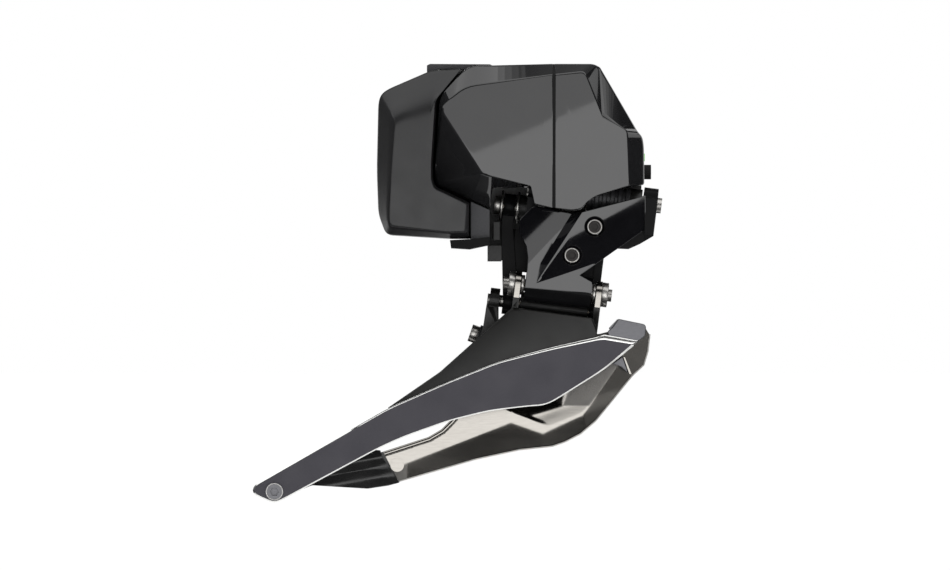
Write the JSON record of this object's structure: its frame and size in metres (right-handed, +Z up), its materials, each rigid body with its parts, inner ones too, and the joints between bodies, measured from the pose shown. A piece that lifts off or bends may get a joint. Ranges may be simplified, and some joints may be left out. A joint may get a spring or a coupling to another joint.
{
  "type": "front derailleur",
  "caption": "Battery-powered front derailleur with a motor housing, clip-on battery, four-bar linkage and chain cage, for a braze-on frame mount.",
  "frame": {"origin": "mouth of the threaded hole at the middle of the braze-on mount pad", "axes": "+X to the front of the bicycle, +Z up, +Y out of the threaded hole towards the frame"},
  "size_m": [0.1067, 0.0352, 0.1142],
  "materials": {
    "gloss_black": "gloss",
    "satin_black": "satin",
    "battery_black": "satin",
    "seal_rubber": "matte",
    "matte_black_metal": "matte",
    "skid_plastic": "satin",
    "anodised_grey": "satin",
    "nickel_steel": "polished",
    "steel": "polished",
    "grey_metal": "satin",
    "brass": "satin",
    "board_green": "satin",
    "cell_wrap": "satin",
    "green_lens": "gloss"
  },
  "bodies": {
    "base": {"base_frame": "satin_black", "housing_rear_shell": "gloss_black", "housing_front_shell": "gloss_black", "housing_seal": "seal_rubber", "housing_screws": "steel", "battery_sled": "satin_black", "sled_screws": "steel", "contact_block": "grey_metal", "contact_pins": "brass", "circuit_board": "board_green", "board_screws": "steel", "motor_can": "grey_metal", "motor_plate": "grey_metal", "gearbox_plate": "grey_metal", "gear_axles": "steel", "shaft_bushes": "brass", "shaft_sleeve": "seal_rubber", "led_lens": "green_lens", "button_switch": "skid_plastic", "latch_pin": "steel", "inner_upper_pin": "steel", "inner_pin_washers": "steel"},
    "outer_link": {"outer_link": "gloss_black", "output_shaft": "steel", "output_sector": "brass", "link_bushes": "brass"},
    "inner_link": {"inner_link": "satin_black", "inner_link_bushes": "brass"},
    "cage": {"cage_carrier": "matte_black_metal", "outer_lower_pin": "steel", "carrier_bushes": "steel", "thrust_washers": "steel", "inner_lower_pin": "steel", "cage_outer_plate": "anodised_grey", "cage_inner_plate": "nickel_steel", "cage_skid": "skid_plastic", "tail_screw": "steel", "plate_screws": "steel", "plate_rivets": "steel", "nose_rivet": "steel", "skid_rivet": "steel", "carrier_screw": "steel", "carrier_washer": "grey_metal"},
    "battery": {"battery_case": "battery_black", "battery_cover": "battery_black", "battery_cells": "cell_wrap", "battery_contacts": "brass"},
    "latch": {"latch": "satin_black"},
    "button": {"status_button": "seal_rubber"},
    "upper_limit_screw": {"upper_limit_screw": "steel"},
    "lower_limit_screw": {"lower_limit_screw": "steel"},
    "second_gear": {"second_gear": "brass"},
    "first_gear": {"first_gear": "brass"},
    "motor_rotor": {"motor_rotor": "steel"}
  },
  "joints": [
    {"name": "shift", "type": "hinge", "parent": "base", "child": "outer_link", "pos_m": [-0.00077, -0.024, -0.00625], "axis": [0.9925, 0, -0.1219], "range_deg": [-12, 12]},
    {"name": "inner_link_pivot", "type": "hinge", "parent": "base", "child": "inner_link", "pos_m": [-0.00136, -0.012, -0.01112], "axis": [0.9925, 0, -0.1219], "range_deg": [-14, 14]},
    {"name": "cage_pivot", "type": "hinge", "parent": "outer_link", "child": "cage", "pos_m": [-0.00379, -0.024, -0.03087], "axis": [0.9925, 0, -0.1219], "range_deg": [-14, 14]},
    {"name": "second_gear_spin", "type": "hinge", "parent": "base", "child": "second_gear", "pos_m": [0.00069, -0.024, 0.00566], "axis": [0.9925, 0, -0.1219], "range_deg": [-58, 58]},
    {"name": "first_gear_spin", "type": "hinge", "parent": "base", "child": "first_gear", "pos_m": [0.00171, -0.0192, 0.01391], "axis": [0.9925, 0, -0.1219], "range_deg": [-154, 154]},
    {"name": "motor_rotor_spin", "type": "hinge", "parent": "base", "child": "motor_rotor", "pos_m": [0.00099, -0.01215, 0.00804], "axis": [0.9925, 0, -0.1219], "range_deg": [-528, 528]},
    {"name": "battery_slide", "type": "slide", "parent": "base", "child": "battery", "axis": [-1, 0, 0], "range_m": [0, 0.016]},
    {"name": "latch_hinge", "type": "hinge", "parent": "base", "child": "latch", "pos_m": [-0.021, -0.019, 0.0264], "axis": [0, 1, 0], "range_deg": [0, 80]},
    {"name": "button_press", "type": "slide", "parent": "base", "child": "button", "axis": [-1, 0, 0], "range_m": [0, 0.0007], "stiffness_N_per_m": 600},
    {"name": "upper_limit_screw_turn", "type": "hinge", "parent": "outer_link", "child": "upper_limit_screw", "pos_m": [0.00643, -0.0297, -0.01475], "axis": [0, 1, 0], "continuous": true},
    {"name": "lower_limit_screw_turn", "type": "hinge", "parent": "outer_link", "child": "lower_limit_screw", "pos_m": [0.00053, -0.0297, -0.02215], "axis": [0, 1, 0], "continuous": true}
  ],
  "couplings": [
    {"joint": "inner_link_pivot", "follows": "shift", "ratio": 1},
    {"joint": "cage_pivot", "follows": "shift", "ratio": -1},
    {"joint": "second_gear_spin", "follows": "shift", "ratio": -4},
    {"joint": "first_gear_spin", "follows": "shift", "ratio": 12},
    {"joint": "motor_rotor_spin", "follows": "shift", "ratio": -43.2},
    {"joint": "latch_hinge", "follows": "battery_slide", "rad_per_m": 76.358}
  ]
}
